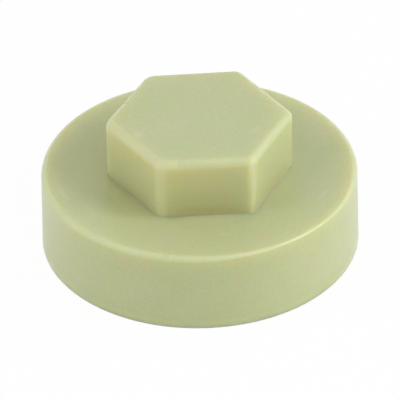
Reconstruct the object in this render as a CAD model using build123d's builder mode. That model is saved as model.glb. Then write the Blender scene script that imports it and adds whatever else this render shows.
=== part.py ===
from build123d import *
import math
import os

# Push-on cover cap for a hex-head roofing screw and the sealing washer under its head.
# It is one injection moulding: a round skirt that surrounds the washer, a slightly dished
# deck, and a hexagonal boss whose socket grips the screw's head. Its rim rests on the sheet.
# Millimetres, +Z up. The origin is the centre of the rim's circle, at the rim's face.

# What the cap covers
washer_diameter = 16.0
head_across_flats = 8.0

# Room round the washer, and between the head and each flat of the socket
washer_clearance = 0.2
head_clearance = 0.06

# Walls, each measured square to its own face, and the deck's at the boss
skirt_wall = 1.3
boss_wall = 0.8
deck_thickness = 1.05
roof_thickness = 0.85

# Depth of the washer's recess, and of the socket above it
recess_depth = 3.7
socket_depth = 3.95

# The deck is flat for a margin round the boss's corners, then rises a little to the rim
deck_dish = 0.2
dish_margin = 0.4

# Draft in degrees: walls outside lean in towards the top, and the socket narrows towards it
skirt_draft = 1.4
boss_draft = 0.25
socket_draft = 0.25

# Rounded edges outside
rim_radius = 0.38
foot_radius = 0.1
boss_corner_radius = 0.5
boss_top_radius = 0.45
boss_root_radius = 0.12

# Rounded and broken edges inside
recess_corner_radius = 0.25
recess_lead_in = 0.25
socket_corner_radius = 0.2
socket_lead_in = 0.3
lead_in_angle = 45

# Crush ribs that grip the head, one up the middle of each flat of the socket
rib_radius = 0.4
rib_height = 0.12

# Sizes that follow from those above
sides = 6
recess_radius = washer_diameter / 2 + washer_clearance
skirt_radius = recess_radius + skirt_wall
socket_apothem = head_across_flats / 2 + head_clearance
boss_apothem = socket_apothem + boss_wall
rib_centre = socket_apothem - rib_height + rib_radius
deck_height = recess_depth + deck_thickness
dish_radius = boss_apothem / math.cos(math.pi / sides) + dish_margin
rim_height = deck_height + deck_dish
boss_height = socket_depth + roof_thickness - deck_thickness
skirt_lean = rim_height * math.tan(math.radians(skirt_draft))

# The form of the hollow, made as the solid core that a mould would shape it round
with BuildPart() as core:
    # Washer's recess, turned from half its section: a true bore, short enough to need no
    # draft, with a broken edge at its mouth and a rounded upper corner
    with BuildSketch(Plane.XZ) as recess_section:
        with BuildLine():
            Polyline(
                (0, 0),
                (recess_radius + recess_lead_in, 0),
                (recess_radius, recess_lead_in),
                (recess_radius, recess_depth),
                (0, recess_depth),
                close=True,
            )
        make_face()
        upper_corner = recess_section.vertices().group_by(Axis.Y)[-1].sort_by(Axis.X)[-1]
        fillet(upper_corner, radius=recess_corner_radius)
    revolve(axis=Axis.Z)

    # Socket for the screw's head, with its upright corners rounded
    with BuildSketch(Plane.XY.offset(recess_depth)):
        RegularPolygon(socket_apothem, sides, major_radius=False)
    extrude(amount=socket_depth, taper=socket_draft)
    socket_corners = core.edges(Select.LAST).filter_by(Plane.XY, reverse=True)
    fillet(socket_corners, radius=socket_corner_radius)

    # A groove up each flat of the core leaves a crush rib in the socket
    with BuildSketch(Plane.XY.offset(recess_depth)):
        with PolarLocations(rib_centre, sides, start_angle=180 / sides):
            Circle(rib_radius)
    extrude(amount=socket_depth, mode=Mode.SUBTRACT)

    # Lead-in at the socket's mouth, which slopes the feet of the ribs as well
    with BuildSketch(Plane.XY.offset(recess_depth)):
        RegularPolygon(socket_apothem + socket_lead_in, sides, major_radius=False)
    extrude(amount=socket_lead_in + rib_height, taper=lead_in_angle)

with BuildPart() as cover_cap:
    # Skirt and deck, turned in one from half their section
    with BuildSketch(Plane.XZ):
        with BuildLine():
            Polyline(
                (0, 0),
                (skirt_radius, 0),
                (skirt_radius - skirt_lean, rim_height),
                (dish_radius, deck_height),
                (0, deck_height),
                close=True,
            )
        make_face()
    revolve(axis=Axis.Z)
    foot_edge, *_, rim_edge = cover_cap.edges().filter_by(GeomType.CIRCLE).sort_by(Axis.Z)
    fillet(foot_edge, radius=foot_radius)
    fillet(rim_edge, radius=rim_radius)

    # Hexagonal boss over the screw's head, with soft edges and a tight root on the deck
    with BuildSketch(Plane.XY.offset(deck_height)):
        RegularPolygon(boss_apothem, sides, major_radius=False)
    extrude(amount=boss_height, taper=boss_draft)
    boss_corners = cover_cap.edges(Select.LAST).filter_by(Plane.XY, reverse=True)
    fillet(boss_corners, radius=boss_corner_radius)
    deck, boss_top = cover_cap.faces().filter_by(Axis.Z).sort_by(Axis.Z)[-2:]
    fillet(boss_top.edges(), radius=boss_top_radius)
    fillet(deck.inner_wires().edges(), radius=boss_root_radius)

    add(core.part, mode=Mode.SUBTRACT)

cover_cap.part.label = "cover_cap"

os.makedirs("parts", exist_ok=True)
export_step(cover_cap.part, "parts/cover_cap.step")
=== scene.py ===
import bpy
import math
from functools import partial
from mathutils import Matrix, Vector


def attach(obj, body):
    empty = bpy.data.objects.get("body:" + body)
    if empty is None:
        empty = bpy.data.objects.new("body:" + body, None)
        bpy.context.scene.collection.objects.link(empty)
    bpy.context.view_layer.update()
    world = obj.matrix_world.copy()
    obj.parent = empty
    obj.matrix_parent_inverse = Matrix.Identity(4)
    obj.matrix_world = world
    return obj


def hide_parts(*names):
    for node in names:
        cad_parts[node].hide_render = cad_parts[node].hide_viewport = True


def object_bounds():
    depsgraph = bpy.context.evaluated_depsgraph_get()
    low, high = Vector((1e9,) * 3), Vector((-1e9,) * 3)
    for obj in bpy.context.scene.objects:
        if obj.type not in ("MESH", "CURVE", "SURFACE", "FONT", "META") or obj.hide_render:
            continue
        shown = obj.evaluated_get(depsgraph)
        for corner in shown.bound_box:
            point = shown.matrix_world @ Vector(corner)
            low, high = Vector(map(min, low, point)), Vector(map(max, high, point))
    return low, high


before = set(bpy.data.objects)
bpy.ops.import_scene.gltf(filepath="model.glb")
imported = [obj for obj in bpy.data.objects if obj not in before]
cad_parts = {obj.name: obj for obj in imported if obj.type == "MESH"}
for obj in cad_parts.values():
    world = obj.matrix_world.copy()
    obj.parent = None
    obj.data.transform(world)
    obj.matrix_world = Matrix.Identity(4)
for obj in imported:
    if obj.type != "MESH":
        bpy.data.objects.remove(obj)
cadLow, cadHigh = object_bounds()
mm = 0.001
sixth = math.pi / 6  # from the middle of a flat to the next corner


def linearColour(hexCode):
    # sRGB hex to the linear values that shader sockets hold
    channels = [int(hexCode[i:i + 2], 16) / 255 for i in (0, 2, 4)]
    return [c / 12.92 if c <= 0.04045 else ((c + 0.055) / 1.055) ** 2.4 for c in channels] + [1.0]


def addNode(tree, kind, *inputs, output=0, **settings):
    # kind is a node's type, or the operation of a Math node. The inputs come in the sockets' order, or as
    # one dictionary by their names or numbers; an output among them is linked. With output=None all of
    # the node's outputs come back, and otherwise that one.
    if kind.isupper():
        kind, settings = "ShaderNodeMath", {"operation": kind}
    node = tree.nodes.new(kind)
    for name, value in settings.items():
        setattr(node, name, value)
    byKey = inputs[0] if inputs and isinstance(inputs[0], dict) else dict(enumerate(inputs))
    for key, value in byKey.items():
        if isinstance(value, bpy.types.NodeSocket):
            tree.links.new(value, node.inputs[key])
        else:
            node.inputs[key].default_value = value
    return node.outputs if output is None else node.outputs[output]


# The cap, in millimetres. Its outline and height come from the frame; these give its section.
# A pair of values is an edge's radius where the mould left it crisp, and on the soft side.
cap = {
    "rimRadius": 9.38,  # skirt at the rim's level, before its edge is rounded
    "rimHeight": 4.95,
    "rimRounding": (0.12, 0.38),
    "dishRadius": 6.0,
    "dishHeight": 4.75,  # deck round the boss, a little lower than at the rim
    "dishRounding": 1.0,
    "bossApothem": 4.88,  # half the boss's width across flats, at its root
    "bossTopApothem": 4.864,
    "cornerRadius": 0.53,  # upright edges of the boss
    "bossTopRounding": (0.38, 0.58),
    "bossRootRounding": 0.07,
    "footRounding": 0.06,
    "recessRadius": 8.2,
    "recessDepth": 3.7,
    "recessRounding": 0.25,
    "mouthChamfer": 0.25,
    "mouthRounding": 0.05,
    "socketApothem": 4.06,
    "socketTopApothem": 4.043,
    "socketRoof": 7.65,
    "socketCornerRadius": 0.2,
    "socketRoofRounding": 0.06,
    "socketChamfer": 0.3,
    "socketChamferRounding": 0.04,
    "socketMouthSharper": 0.1,  # taken from the corner radius at the chamfer's outer edge
    "ribRadius": 0.4,
    "ribHeight": 0.12,
    "columns": 288,  # round the cap, a multiple of 24
    "crowding": 0.85,  # how closely the columns gather at corners and ribs, under 1
    "longestStep": 0.3,  # along the section
    "roundingSteps": 12,  # in each rounded edge
    "weldDistance": 0.0002,
    "clear": 1.0,  # the rim starts this far beyond the dish, and the boss this far above the recess
    "bossCoreFrom": 4.0,  # a ring outside whose core hexagon is larger than this is the boss's
}

# Moulding and handling leave the form a little off true. Sides are in degrees from +X, lengths in mm.
trueness = {
    "softSide": 205,  # where the edges are softest
    "crispSide": 308,  # where the rim's edge is crisp
    "crispFalloff": 8.0,  # the higher, the shorter that stretch
    "softCorner": 185,  # where the boss's upright corners are roundest
    "softCornerExtra": 0.62,  # added to a corner's radius there
    "flatSink": 0.07,  # the middle of each flat of the boss is drawn in by this at its root
    "frontAside": 0.19,  # the boss's front flat lies this far to the right
    "frontNarrower": 0.025,  # share of its width that the front flat lacks
    "waviness": 0.012,
    "waveSize": 5.0,
    "waveRoughness": 0.4,
    "wavyFrom": 0.05,  # the rim's face below this stays flat
}


def sectionCorners():
    # (radius, height, rounding, hexagon core, ribbed), from the boss's top down and in to the socket.
    # A ring is an offset of its core hexagon: a core of 0 gives a circle.
    top = cadHigh.z / mm
    skirt = min(cadHigh.x, cadHigh.y, -cadLow.x, -cadLow.y) / mm
    recess, roof = cap["recessDepth"], cap["socketRoof"]
    chamfer, socket = cap["socketChamfer"], cap["socketApothem"]
    bossCore = cap["bossApothem"] - cap["cornerRadius"]
    socketCore = socket - cap["socketCornerRadius"]
    mouthCore = socketCore + chamfer + cap["socketMouthSharper"]
    ribFoot = recess + chamfer + cap["ribHeight"]
    return [
        (0.0, top, 0.0, 0.0, 0.0),
        (cap["bossTopApothem"], top, cap["bossTopRounding"], bossCore, 0.0),
        (cap["bossApothem"], cap["dishHeight"], cap["bossRootRounding"], bossCore, 0.0),
        (cap["dishRadius"], cap["dishHeight"], cap["dishRounding"], 0.0, 0.0),
        (cap["rimRadius"], cap["rimHeight"], cap["rimRounding"], 0.0, 0.0),
        (skirt, 0.0, cap["footRounding"], 0.0, 0.0),
        (cap["recessRadius"] + cap["mouthChamfer"], 0.0, cap["mouthRounding"], 0.0, 0.0),
        (cap["recessRadius"], cap["mouthChamfer"], cap["mouthRounding"], 0.0, 0.0),
        (cap["recessRadius"], recess, cap["recessRounding"], 0.0, 0.0),
        (socket + chamfer, recess, cap["socketChamferRounding"], mouthCore, 1.0),
        (socket, recess + chamfer, cap["socketChamferRounding"], socketCore, 1.0),
        (socket, ribFoot, 0.0, socketCore, 1.0),
        (cap["socketTopApothem"], roof, cap["socketRoofRounding"], socketCore, 1.0),
        (0.0, roof, 0.0, 0.0, 1.0),
    ]


def sectionObject():
    radii, heights, roundings, cores, ribbed = zip(*sectionCorners())
    pairs = [value if isinstance(value, tuple) else (value, value) for value in roundings]
    layers = {
        "rounding": [crisp for crisp, soft in pairs],
        "softRounding": [soft for crisp, soft in pairs],
        "core": cores,
        "ribbed": ribbed,
    }
    mesh = bpy.data.meshes.new("coverCap")
    points = [(radius, 0, height) for radius, height in zip(radii, heights)]
    mesh.from_pydata(points, [(i, i + 1) for i in range(len(points) - 1)], [])
    for name, values in layers.items():
        mesh.attributes.new(name, "FLOAT", "POINT").data.foreach_set("value", values)
    obj = bpy.data.objects.new("coverCap", mesh)
    bpy.context.scene.collection.objects.link(obj)
    return obj


# What the cap's tree is given, in millimetres and radians
wholeNumbers = ("Columns", "Rounding Steps")
capInputs = {
    "Columns": cap["columns"],
    "Rounding Steps": cap["roundingSteps"],
    "Crowding": cap["crowding"],
    "Longest Step": cap["longestStep"],
    "Weld Distance": cap["weldDistance"],
    "Rim From": cap["dishRadius"] + cap["clear"],
    "Boss From": cap["recessDepth"] + cap["clear"],
    "Boss Core From": cap["bossCoreFrom"],
    "Boss Top": cadHigh.z / mm,
    "Dish Radius": cap["dishRadius"],
    "Deck Height": cap["dishHeight"],
    "Recess Depth": cap["recessDepth"],
    "Socket Apothem": cap["socketApothem"],
    "Socket Chamfer": cap["socketChamfer"],
    "Rib Radius": cap["ribRadius"],
    "Rib Height": cap["ribHeight"],
    "Soft Side": math.radians(trueness["softSide"]),
    "Crisp Side": math.radians(trueness["crispSide"]),
    "Crisp Falloff": trueness["crispFalloff"],
    "Soft Corner": math.radians(trueness["softCorner"]),
    "Soft Corner Extra": trueness["softCornerExtra"],
    "Flat Sink": trueness["flatSink"],
    "Front Aside": trueness["frontAside"],
    "Front Narrower": trueness["frontNarrower"],
    "Waviness": trueness["waviness"],
    "Wave Size": trueness["waveSize"],
    "Wave Roughness": trueness["waveRoughness"],
    "Wavy From": trueness["wavyFrom"],
}


def capTree(material):
    tree = bpy.data.node_groups.new("mouldedCap", "GeometryNodeTree")
    tree.interface.new_socket("Section", in_out="INPUT", socket_type="NodeSocketGeometry")
    for name in capInputs:
        kind = "NodeSocketInt" if name in wholeNumbers else "NodeSocketFloat"
        tree.interface.new_socket(name, in_out="INPUT", socket_type=kind)
    tree.interface.new_socket("Cap", in_out="OUTPUT", socket_type="NodeSocketGeometry")
    add = partial(addNode, tree)
    given = add("NodeGroupInput", output=None)
    place = add("GeometryNodeInputPosition")
    index = add("GeometryNodeInputIndex")
    rounding, softRounding, core, ribbed = (
        add("GeometryNodeInputNamedAttribute", {"Name": name}, output="Attribute", data_type="FLOAT")
        for name in ("rounding", "softRounding", "core", "ribbed")
    )

    # Round the section's corners, once crisp and once soft, then divide the long runs of both alike
    line = add("GeometryNodeMeshToCurve", {"Mesh": given["Section"]})
    crispLine, softLine = (
        add("GeometryNodeFilletCurve", {
            "Curve": line, "Count": given["Rounding Steps"], "Radius": radius, "Limit Radius": True,
        }, mode="POLY")
        for radius in (rounding, softRounding)
    )
    following = add("GeometryNodeFieldAtIndex", {"Index": add("ADD", index, 1), "Value": place},
                    data_type="FLOAT_VECTOR", domain="POINT")
    run = add("ShaderNodeVectorMath", place, following, output="Value", operation="DISTANCE")
    pieces = add("FLOOR", add("DIVIDE", run, given["Longest Step"]))
    cuts = add("GeometryNodeSampleIndex", {"Geometry": crispLine, "Value": pieces, "Index": index},
               data_type="FLOAT", domain="POINT")
    section, softSection = (
        add("GeometryNodeSubdivideCurve", {"Curve": rounded, "Cuts": cuts})
        for rounded in (crispLine, softLine)
    )

    # A grid with a row for each point of the section and a column for each step round the axis
    rows = add("GeometryNodeAttributeDomainSize", {"Geometry": section}, output="Point Count",
               component="CURVE")
    perRow = add("ADD", given["Columns"], 1)
    grid = add("GeometryNodeMeshGrid", {"Vertices X": rows, "Vertices Y": perRow})
    row = add("FLOOR", add("DIVIDE", add("ADD", index, 0.5), perRow))
    column = add("SUBTRACT", index, add("MULTIPLY", row, perRow))

    # Columns crowd together at the corners and at the middles of the flats
    gatherings = 12
    turn = add("DIVIDE", column, given["Columns"])
    wave = add("SINE", add("MULTIPLY", turn, 2 * math.pi * gatherings))
    swing = add("MULTIPLY", wave, add("DIVIDE", given["Crowding"], gatherings))
    angle = add("SUBTRACT", add("MULTIPLY", turn, 2 * math.pi), swing)

    def nearness(direction, side):
        # 1 on that side, 0 opposite
        return add("MULTIPLY_ADD", add("COSINE", add("SUBTRACT", direction, given[side])), 0.5, 0.5)

    # Each point of the section, between crisp and soft. The rim's edge is crisp in one short stretch
    # only, and the boss's all along one side.
    crispPoint, softPoint, ringCore, ringRibbed = (
        add("GeometryNodeSampleIndex", {"Geometry": curve, "Value": value, "Index": row},
            data_type=kind, domain="POINT")
        for curve, value, kind in (
            (section, place, "FLOAT_VECTOR"), (softSection, place, "FLOAT_VECTOR"),
            (section, core, "FLOAT"), (section, ribbed, "FLOAT"),
        )
    )
    onRim = add("GREATER_THAN", add("ShaderNodeSeparateXYZ", crispPoint, output="X"), given["Rim From"])
    rimCrisp = add("POWER", nearness(angle, "Crisp Side"), given["Crisp Falloff"])
    bossCrisp = add("SUBTRACT", 1.0, nearness(angle, "Soft Side"))
    crisp = add("ShaderNodeMix", {0: onRim, 2: bossCrisp, 3: rimCrisp}, data_type="FLOAT")
    point = add("ShaderNodeMix", {0: crisp, 4: softPoint, 5: crispPoint}, output=1, data_type="VECTOR")
    apothem, _, height = add("ShaderNodeSeparateXYZ", point, output=None)
    outside = add("SUBTRACT", 1.0, ringRibbed)
    isHigh = add("MULTIPLY", add("GREATER_THAN", height, given["Boss From"]), outside)

    # Radius of a rounded hexagon: flats, then an arc about each corner of the core
    offFlat = add("PINGPONG", add("ADD", angle, sixth), sixth)
    corner = add("MODULO", add("ROUND", add("DIVIDE", angle, 2 * sixth)), 6)
    soften = add("MULTIPLY", nearness(add("MULTIPLY", corner, 2 * sixth), "Soft Corner"), isHigh)
    softCore = add("SUBTRACT", ringCore, add("MULTIPLY", soften, given["Soft Corner Extra"]))
    held = add("MAXIMUM", add("MINIMUM", softCore, apothem), 0.0)
    arcRadius = add("SUBTRACT", apothem, held)
    arcCentre = add("DIVIDE", held, math.cos(sixth))
    arcStart = add("ARCTAN2", add("MULTIPLY", held, math.tan(sixth)), apothem)
    flatReach = add("DIVIDE", apothem, add("COSINE", offFlat))
    offCorner = add("SUBTRACT", sixth, offFlat)
    arcAside = add("MULTIPLY", arcCentre, add("SINE", offCorner))
    arcDepth = add("SUBTRACT", add("MULTIPLY", arcRadius, arcRadius), add("MULTIPLY", arcAside, arcAside))
    arcRise = add("SQRT", add("MAXIMUM", arcDepth, 0.0))
    arcReach = add("MULTIPLY_ADD", arcCentre, add("COSINE", offCorner), arcRise)
    inArc = add("GREATER_THAN", offFlat, arcStart)
    plainReach = add("MULTIPLY_ADD", inArc, add("SUBTRACT", arcReach, flatReach), flatReach)

    # Crush ribs stand in from the socket's flats, and the lead-in cuts their feet back
    ribRadius = given["Rib Radius"]
    ribCentre = add("ADD", add("SUBTRACT", given["Socket Apothem"], given["Rib Height"]), ribRadius)
    ribAside = add("MULTIPLY", ribCentre, add("SINE", offFlat))
    ribDepth = add("SUBTRACT", add("MULTIPLY", ribRadius, ribRadius), add("MULTIPLY", ribAside, ribAside))
    ribRise = add("SQRT", add("MAXIMUM", ribDepth, 0.0))
    ribReach = add("SUBTRACT", add("MULTIPLY", ribCentre, add("COSINE", offFlat)), ribRise)
    leadReach = add("SUBTRACT", add("ADD", given["Socket Apothem"], given["Socket Chamfer"]),
                    add("SUBTRACT", height, given["Recess Depth"]))
    ribFace = add("MINIMUM", add("MAXIMUM", ribReach, leadReach), plainReach)
    inSocket = add("GREATER_THAN", ringRibbed, 0.99)  # and not on the rounded way into it
    onRib = add("MULTIPLY", add("GREATER_THAN", ribDepth, 0.0), inSocket)
    ribbedReach = add("MULTIPLY_ADD", onRib, add("SUBTRACT", ribFace, plainReach), plainReach)

    # The boss's flats are drawn in a little, most in the middle of their root, and its front flat lies
    # a little to one side
    onBoss = add("MULTIPLY", isHigh, add("GREATER_THAN", ringCore, given["Boss Core From"]))
    bulge = add("COSINE", add("MULTIPLY", offFlat, math.pi / 2 / sixth))
    bossHeight = add("SUBTRACT", given["Boss Top"], given["Deck Height"])
    belowTop = add("DIVIDE", add("SUBTRACT", given["Boss Top"], height), bossHeight)
    drawn = add("MULTIPLY", add("MULTIPLY", bulge, bulge), add("MULTIPLY", belowTop, given["Flat Sink"]))
    reach = add("SUBTRACT", ribbedReach, add("MULTIPLY", drawn, onBoss))
    across, along = (add("MULTIPLY", reach, add(part, angle)) for part in ("COSINE", "SINE"))
    forward = add("MAXIMUM", add("DIVIDE", along, add("MULTIPLY", given["Dish Radius"], -1.0)), 0.0)
    shift = add("SUBTRACT", given["Front Aside"], add("MULTIPLY", across, given["Front Narrower"]))
    shifted = add("MULTIPLY_ADD", add("MULTIPLY", forward, onBoss), shift, across)
    shaped = add("ShaderNodeCombineXYZ", shifted, along, height)
    shell = add("GeometryNodeSetPosition", {"Geometry": grid, "Position": shaped})
    closed = add("GeometryNodeMergeByDistance", {"Geometry": shell, "Distance": given["Weld Distance"]})

    # Moulded faces are never quite flat: they sink a little, and only inwards, clear of the rim's face
    waves = add("ShaderNodeTexNoise", {
        "Vector": place, "Scale": add("DIVIDE", 1.0, given["Wave Size"]), "Detail": 1.0,
        "Roughness": given["Wave Roughness"],
    }, noise_dimensions="3D")
    sink = add("MULTIPLY", add("MULTIPLY", waves, given["Waviness"]), -1.0)
    inwards = add("ShaderNodeVectorMath", {0: add("GeometryNodeInputNormal"), "Scale": sink},
                  operation="SCALE")
    above = add("GREATER_THAN", add("ShaderNodeSeparateXYZ", place, output="Z"), given["Wavy From"])
    wavy = add("GeometryNodeSetPosition", {"Geometry": closed, "Selection": above, "Offset": inwards})

    smooth = add("GeometryNodeSetShadeSmooth", {"Geometry": wavy})
    metres = add("GeometryNodeTransform", {"Geometry": smooth, "Scale": (mm, mm, mm)})
    real = add("GeometryNodeRealizeInstances", {"Geometry": metres})
    finished = add("GeometryNodeSetMaterial", {"Geometry": real, "Material": material})
    add("NodeGroupOutput", {"Cap": finished}, output=None)
    return tree


def applyTree(obj, tree, values):
    modifier = obj.modifiers.new("form", "NODES")
    modifier.node_group = tree
    for item in tree.interface.items_tree:
        if item.in_out == "INPUT" and item.name in values:
            modifier[item.identifier] = values[item.name]
    bpy.context.view_layer.update()
    made = bpy.data.meshes.new_from_object(obj.evaluated_get(bpy.context.evaluated_depsgraph_get()))
    obj.modifiers.remove(modifier)
    made.name = obj.name
    obj.data = made
    return obj


# Where the painted highlights, painted shade and painted light on the plastic lie, in millimetres. A pair
# gives both ends of a fade, and a share is how much of the shade shows.
shading = {
    "edgeSlope": ((0.2, 0.65), (0.975, 0.997)),  # upward part of the normal: an edge comes in, and goes
    "uprightTurn": (0.04, 0.3),  # radians off a flat's own direction
    "uprightSlope": (0.4, 0.8),  # upward part of the normal, where an upright edge ends
    "wallSlope": (0.05, 0.4),  # and where a wall does
    "wallInset": 0.3,  # the boss's walls lie this far inside the dish
    "wallStart": 0.02,  # above the deck
    "deckLevel": 0.18,  # what lies this near to the deck's level is deck
    "rimShare": 0.35,
    "rimBackShare": 0.4,  # added at the back
    "topShare": 0.36,
    "uprightShare": 0.38,
    "rootNear": (0.3, 0.9),  # the root's painted shade fades up the wall in two steps
    "rootFar": (1.2, 3.2),
    "rootStart": (0.0, 0.06),
    "rootCorner": (0.2, 0.5),  # radians from a flat's middle
    "rootCornerLoss": 0.55,
    "rootShare": 0.35,
    "rootFrontShare": 0.8,  # added at the front
    "rootLeftShare": 0.15,  # and on the left
    "deckNear": (4.9, 6.4),  # from the axis, on the left of the deck
    "deckNearShare": 0.42,
    "deckFar": (5.6, 9.0),
    "deckFarShare": 0.33,
    "footRadius": (8.7, 9.4),
    "footHeight": (0.0, 0.6),
    "besideRoot": (4.9, 5.9),
    "besideShare": 0.3,
    "glowUprightShare": 0.4,
    "glowTopShare": 0.16,
    "warmFrom": (0.9, 2.9),  # above the deck
}


def eased(value, ends):
    # 0 before the first end, 1 past the second, smooth between
    share = min(max((value - ends[0]) / (ends[1] - ends[0]), 0.0), 1.0)
    return share * share * (3 - 2 * share)


def offMiddle(angle):
    # from the middle of the nearest flat, 0 to a sixth of half a turn
    return abs(angle % (2 * sixth) - sixth)


def towards(angle, side):
    # 1 on that side, 0 opposite
    return 0.5 + 0.5 * math.cos(angle - math.radians(trueness[side]))


def plasticShares(place, normal):
    # how much of each painted highlight, shade and light shows at one point of the surface
    fromAxis, angle = math.hypot(place.x, place.y), math.atan2(place.y, place.x)
    overDeck = place.z - cap["dishHeight"]
    isRim = fromAxis > cap["dishRadius"] + cap["clear"]
    isHigh = overDeck > cap["clear"]
    isWall = fromAxis < cap["dishRadius"] - shading["wallInset"] and overDeck > shading["wallStart"]
    isDeck = abs(overDeck) < shading["deckLevel"]
    left, soft = towards(angle, "softCorner") ** 2, towards(angle, "softSide")
    back, front = (0.5 + 0.5 * math.sin(angle)) ** 2, (0.5 - 0.5 * math.sin(angle)) ** 3

    # Painted highlight on rounded edges: round the rim, more at the back, and the boss's top, and up the
    # boss's corners
    comesIn, goes = shading["edgeSlope"]
    turned = eased(normal.z, comesIn) * (1 - eased(normal.z, goes))
    flatTurn = offMiddle(math.atan2(normal.y, normal.x))
    upright = eased(flatTurn, shading["uprightTurn"]) * (1 - eased(normal.z, shading["uprightSlope"]))
    onUpright = upright * isWall
    rimEdge = isRim * (shading["rimShare"] + shading["rimBackShare"] * back)
    paintedEdgeHighlight = max(turned * (rimEdge + shading["topShare"] * isHigh), onUpright * shading["uprightShare"])
    crispness = towards(angle, "crispSide") ** trueness["crispFalloff"] if isRim else 1 - soft
    polish = max(turned * (isRim or isHigh), onUpright) * crispness

    # Painted shade in the boss's root, most at the front and on the left, and on the deck beside it on the
    # left
    upWall = 1 - 0.5 * eased(overDeck, shading["rootNear"]) - 0.5 * eased(overDeck, shading["rootFar"])
    midFlat = 1 - shading["rootCornerLoss"] * eased(offMiddle(angle), shading["rootCorner"])
    onSide = shading["rootShare"] + shading["rootFrontShare"] * front + shading["rootLeftShare"] * left
    paintedWallShade = isWall * eased(overDeck, shading["rootStart"]) * upWall * midFlat * onSide
    nearFade = shading["deckNearShare"] * (1 - eased(fromAxis, shading["deckNear"]))
    farFade = shading["deckFarShare"] * (1 - eased(fromAxis, shading["deckFar"]))
    root = max(paintedWallShade, isDeck * left * (nearFade + farFade))

    # Painted light on the thin foot, beside the root and in the boss's edges, and painted warm light high
    # on its walls
    foot = eased(fromAxis, shading["footRadius"]) * (1 - eased(place.z, shading["footHeight"]))
    besideFade = shading["besideShare"] * (1 - eased(fromAxis, shading["besideRoot"]))
    bossEdges = max(onUpright * shading["glowUprightShare"], turned * isHigh * shading["glowTopShare"])
    paintedGlow = max(foot, isDeck * besideFade * (1 - left), bossEdges * soft)
    plainWall = isWall * (1 - max(upright, eased(normal.z, shading["wallSlope"])))
    paintedWarmLight = plainWall * eased(overDeck, shading["warmFrom"]) * soft
    return {"paintedEdgeHighlight": paintedEdgeHighlight, "polish": polish, "root": root, "paintedGlow": paintedGlow, "paintedWarmLight": paintedWarmLight}


def shadePlastic(mesh):
    # store the shares on the points, where the material reads them
    shares = [plasticShares(vertex.co / mm, vertex.normal) for vertex in mesh.vertices]
    for name in shares[0]:
        values = [float(share[name]) for share in shares]
        mesh.attributes.new(name, "FLOAT", "POINT").data.foreach_set("value", values)


# The plastic's finish. Sizes are in millimetres.
finish = {
    "lean": "c2c998",  # where the pigment lies a little thin or thick
    "rich": "c9cba4",
    "cool": "f4fffa",  # and its two dyes
    "warm": "fff8f2",
    "paintedEdgeHighlight": "c4cfbd",  # painted highlight, paler where the surface turns
    "scuff": "dbdbbf",  # rubbed spots and hair-thin scratches
    "root": "c0bb89",  # painted shade, darker and warmer in the boss's root and on the deck to its left
    "paintedWarmLight": "ceca96",  # painted warm light, as if coming through from behind: it tints the boss's walls high up on the soft side
    "paintedGlow": "e1d9a4",  # painted light on the foot, beside the boss's root and in the boss's edges
    "paintedSlantShade": "a4a876",  # painted shade where the surface is seen at a slant
    "paintedSlantShadeShare": 0.45,
    "paintedSlantShadeFalloff": 4.0,
    # Patterns of noise: size, detail and seed
    "patterns": {
        "clouds": (3.0, 1.0, 0.0),  # pigment that mixed unevenly in the melt
        "speckles": (0.4, 1.0, 3.0),
        "grain": (0.13, 0.0, 7.0),  # the eroded cavity's grain, drawn twice as coarse so that it shows
        "mottle": (0.2, 1.0, 13.0),
        "ripple": (1.2, 1.0, 5.0),
        "rubbed": (2.2, 1.0, 11.0),
    },
    # How far each pattern carries the pigment from lean to rich
    "unevenness": {"clouds": 1.2, "speckles": 0.95, "grain": 2.2, "streaks": 0.5},
    "mottleContrast": 2.1,
    "streakSize": (1.4, 1.4, 0.2),  # flow lines of the melt, which run aslant
    "streakSlant": 40,  # degrees
    "scuffSpacing": 2.6,
    "scuffWidth": 0.04,
    "scuffBend": 9.0,
    "scuffBendScale": 0.3,
    "scuffWhere": (0.6, 0.7),  # they come in between these values of the rubbed noise
    "scuffShare": 0.35,
    "roughness": 0.3,
    "edgeRoughness": 0.14,
    "speckleRoughness": 0.06,
    "grainHeight": 0.001,
    "rippleHeight": 0.0006,
    "bumpFalloff": 3.0,  # at a slant the bumps hide one another
    "ior": 1.43,
    "lightReach": (1.0, 0.7, 0.3),  # red, green and blue
    "lightDepth": 2.0,
}
ringSpacing = 0.314  # between a Wave Texture's rings at a scale of 1


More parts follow.
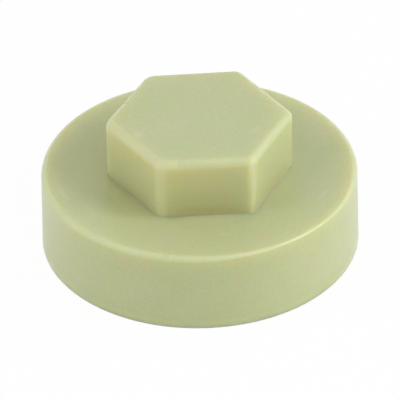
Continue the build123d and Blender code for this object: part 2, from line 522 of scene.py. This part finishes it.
def mouldedPlastic():
    # Polypropylene with pigment, injection moulded in a finely eroded cavity: satin, a little waxy,
    # with light soaking in at the edges
    material = bpy.data.materials.new("mouldedPolypropylene")
    material.use_nodes = True
    tree = material.node_tree
    tree.nodes.clear()
    add = partial(addNode, tree)
    place = add("ShaderNodeTexCoord", output="Object")
    place = add("ShaderNodeMapping", {"Vector": place, "Scale": (1 / mm, 1 / mm, 1 / mm)})
    marks = {
        name: add("ShaderNodeAttribute", output="Fac", attribute_name=name)
        for name in ("paintedEdgeHighlight", "polish", "root", "paintedWarmLight", "paintedGlow")
    }

    # Clouds, speckles and grain, with flow lines among them
    patterns = {
        name: add("ShaderNodeTexNoise", {
            "Vector": place, "W": seed, "Scale": 1 / size, "Detail": detail, "Roughness": 0.5,
        }, noise_dimensions="4D")
        for name, (size, detail, seed) in finish["patterns"].items()
    }
    flow = add("ShaderNodeMapping", {
        "Vector": place, "Rotation": (0, math.radians(finish["streakSlant"]), 0),
        "Scale": tuple(1 / size for size in reversed(finish["streakSize"])),
    })
    patterns["streaks"] = add("ShaderNodeTexNoise", {"Vector": flow, "Scale": 1.0, "Detail": 1.0})
    uneven = 0.5
    for name, strength in finish["unevenness"].items():
        uneven = add("ADD", add("MULTIPLY", add("SUBTRACT", patterns[name], 0.5), strength), uneven)
    pigment = add("ShaderNodeMix", {
        0: uneven, 6: linearColour(finish["lean"]), 7: linearColour(finish["rich"]),
    }, output=2, data_type="RGBA")

    # Scratches are short pieces of bent rings, shown only where the plastic was rubbed
    rings = add("ShaderNodeTexWave", {
        "Vector": place, "Scale": ringSpacing / finish["scuffSpacing"], "Distortion": finish["scuffBend"],
        "Detail": 1.0, "Detail Scale": finish["scuffBendScale"],
    }, output="Fac", wave_type="RINGS", rings_direction="SPHERICAL")
    lines = add("ShaderNodeMapRange", rings, 1.0 - finish["scuffWidth"], 1.0)
    shown = add("ShaderNodeMapRange", patterns["rubbed"], *finish["scuffWhere"])
    marks["scuff"] = add("MULTIPLY", add("MULTIPLY", lines, shown), finish["scuffShare"])
    # Mix in the painted edge highlight, the scratches, the painted root shade and the painted light on
    # walls, foot and edges
    for name in ("paintedEdgeHighlight", "scuff", "root", "paintedWarmLight", "paintedGlow"):
        pigment = add("ShaderNodeMix", {0: marks[name], 6: pigment, 7: linearColour(finish[name])},
                      output=2, data_type="RGBA")

    # The two dyes speckle all of it, and painted shade darkens it at a slant
    mottle = add("MULTIPLY_ADD", add("SUBTRACT", patterns["mottle"], 0.5), finish["mottleContrast"], 0.5)
    tint = add("ShaderNodeMix", {
        0: mottle, 6: linearColour(finish["cool"]), 7: linearColour(finish["warm"]),
    }, output=2, data_type="RGBA")
    pigment = add("ShaderNodeMix", {0: 1.0, 6: pigment, 7: tint}, output=2, data_type="RGBA",
                  blend_type="MULTIPLY")
    slant = add("ShaderNodeLayerWeight", {"Blend": 0.5}, output="Facing")
    slantShaded = add("MULTIPLY", add("POWER", slant, finish["paintedSlantShadeFalloff"]), finish["paintedSlantShadeShare"])
    pigment = add("ShaderNodeMix", {0: slantShaded, 6: pigment, 7: linearColour(finish["paintedSlantShade"])},
                  output=2, data_type="RGBA")

    # Satin, glossier on crisp edges, over a fine relief
    roughness = add("MULTIPLY_ADD", marks["polish"], finish["edgeRoughness"] - finish["roughness"],
                    finish["roughness"])
    roughness = add("MULTIPLY_ADD", add("SUBTRACT", patterns["speckles"], 0.5), finish["speckleRoughness"],
                    roughness)
    ripple = add("MULTIPLY", patterns["ripple"], finish["rippleHeight"])
    relief = add("MULTIPLY_ADD", patterns["grain"], finish["grainHeight"], ripple)
    bump = add("ShaderNodeBump", {
        "Height": relief, "Distance": mm,
        "Strength": add("SUBTRACT", 1.0, add("POWER", slant, finish["bumpFalloff"])),
    })
    shader = add("ShaderNodeBsdfPrincipled", {
        "Base Color": pigment,
        "Roughness": roughness,
        "Normal": bump,
        "IOR": finish["ior"],
        "Subsurface Weight": 1.0,
        "Subsurface Radius": finish["lightReach"],
        "Subsurface Scale": finish["lightDepth"] * mm,
    })
    add("ShaderNodeOutputMaterial", {"Surface": shader}, output=None)
    return material


plastic = mouldedPlastic()
print("material made:", plastic.name)
coverCap = applyTree(sectionObject(), capTree(plastic), capInputs)
shadePlastic(coverCap.data)
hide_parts("cover_cap")
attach(coverCap, "root")
print("cap:", len(coverCap.data.vertices), "points,", len(coverCap.data.polygons), "faces")

# Camera, at the photograph's angle. Lengths are in millimetres, angles in degrees.
camera = {
    "azimuth": -3.1,
    "elevation": 34.65,
    "distance": 222.0,
    "focusHeight": 5.0,  # the distance and elevation are taken from the deck's centre
    "aimBelow": 2.552,
    "aimRight": 0.009,
    "roll": 1.12,
    "lens": 336.7,
    "sensor": 36.0,
    "nearest": 10.0,
    "farthest": 10000.0,
}


def outward(azimuth, elevation):
    # unit vector from the cap, in a view's degrees
    a, e = math.radians(azimuth), math.radians(elevation)
    return Vector((math.sin(a) * math.cos(e), -math.cos(a) * math.cos(e), math.sin(e)))


def addCamera():
    data = bpy.data.cameras.new("camera")
    data.lens, data.sensor_width = camera["lens"], camera["sensor"]
    data.clip_start, data.clip_end = camera["nearest"] * mm, camera["farthest"] * mm
    obj = bpy.data.objects.new("camera", data)
    bpy.context.scene.collection.objects.link(obj)
    focus = Vector((0, 0, camera["focusHeight"]))
    eye = focus + outward(camera["azimuth"], camera["elevation"]) * camera["distance"]
    right = outward(camera["azimuth"] + 90, 0)
    aim = focus + right * camera["aimRight"] - Vector((0, 0, camera["aimBelow"]))
    turn = (aim - eye).to_track_quat("-Z", "Y").to_matrix().to_4x4()
    roll = Matrix.Rotation(math.radians(-camera["roll"]), 4, "Z")
    obj.matrix_world = Matrix.Translation(eye * mm) @ turn @ roll
    bpy.context.scene.camera = obj


addCamera()
print("camera placed")

# Round soft boxes: azimuth and elevation as for a view, distance and size in millimetres, and watts
lamps = {
    "rightHigh": (80, 46, 300, 45, 0.07),
    "right": (73, 28, 300, 200, 0.365),
    "leftHigh": (-75, 48, 300, 120, 0.1),
    "left": (-85, 18, 300, 240, 0.196),
    "frontRight": (30, 8, 300, 240, 0.08),
    "backRight": (148, 55, 300, 120, 0.022),
    "backLeft": (-150, 50, 300, 120, 0.004),
}


def addLamps():
    for name, (azimuth, elevation, distance, size, power) in lamps.items():
        data = bpy.data.lights.new(name, "AREA")
        data.shape, data.size, data.energy = "DISK", size * mm, power
        obj = bpy.data.objects.new(name, data)
        away = outward(azimuth, elevation)
        facing = away.to_track_quat("Z", "Y").to_matrix().to_4x4()
        obj.matrix_world = Matrix.Translation(away * distance * mm) @ facing
        bpy.context.scene.collection.objects.link(obj)


# The white surroundings. Lengths are in millimetres.
studio = {
    "white": "ffffff",
    "fill": 0.56,  # light from all round
    "floorReach": 600.0,
    "floorBelow": 0.02,
    "card": "f0f0f0",
    "cardWhiteness": 0.965,  # the rest keeps the cap's shadow
}


def seenWhite(add):
    # 1 where the camera sees the surface, straight or in a reflection or through glass
    path = add("ShaderNodeLightPath", output=None)
    mirrored = add("MAXIMUM", path["Is Camera Ray"], path["Is Glossy Ray"])
    return add("MAXIMUM", mirrored, path["Is Transmission Ray"])


def addWorld():
    world = bpy.data.worlds.new("studio")
    bpy.context.scene.world = world
    world.use_nodes = True
    world.node_tree.nodes.clear()
    add = partial(addNode, world.node_tree)
    fill = add("ShaderNodeBackground", {"Color": linearColour(studio["white"]), "Strength": studio["fill"]})
    white = add("ShaderNodeBackground", {"Color": linearColour(studio["white"]), "Strength": 1.0})
    surface = add("ShaderNodeMixShader", seenWhite(add), fill, white)
    add("ShaderNodeOutputWorld", {"Surface": surface}, output=None)


def addFloor():
    reach = studio["floorReach"] * mm
    corners = [(-reach, -reach, 0), (reach, -reach, 0), (reach, reach, 0), (-reach, reach, 0)]
    mesh = bpy.data.meshes.new("floor")
    mesh.from_pydata(corners, [], [(0, 1, 2, 3)])
    floor = bpy.data.objects.new("floor", mesh)
    bpy.context.scene.collection.objects.link(floor)
    floor.location.z = -studio["floorBelow"] * mm
    material = bpy.data.materials.new("whiteCard")
    material.use_nodes = True
    material.node_tree.nodes.clear()
    add = partial(addNode, material.node_tree)
    card = add("ShaderNodeBsdfDiffuse", {"Color": linearColour(studio["card"])})
    white = add("ShaderNodeEmission", {"Color": linearColour(studio["white"]), "Strength": 1.0})
    share = add("MULTIPLY", seenWhite(add), studio["cardWhiteness"])
    surface = add("ShaderNodeMixShader", share, card, white)
    add("ShaderNodeOutputMaterial", {"Surface": surface}, output=None)
    mesh.materials.append(material)


addLamps()
addWorld()
addFloor()
bpy.context.scene.view_settings.view_transform = "Standard"
print("lamps, surroundings and floor placed")
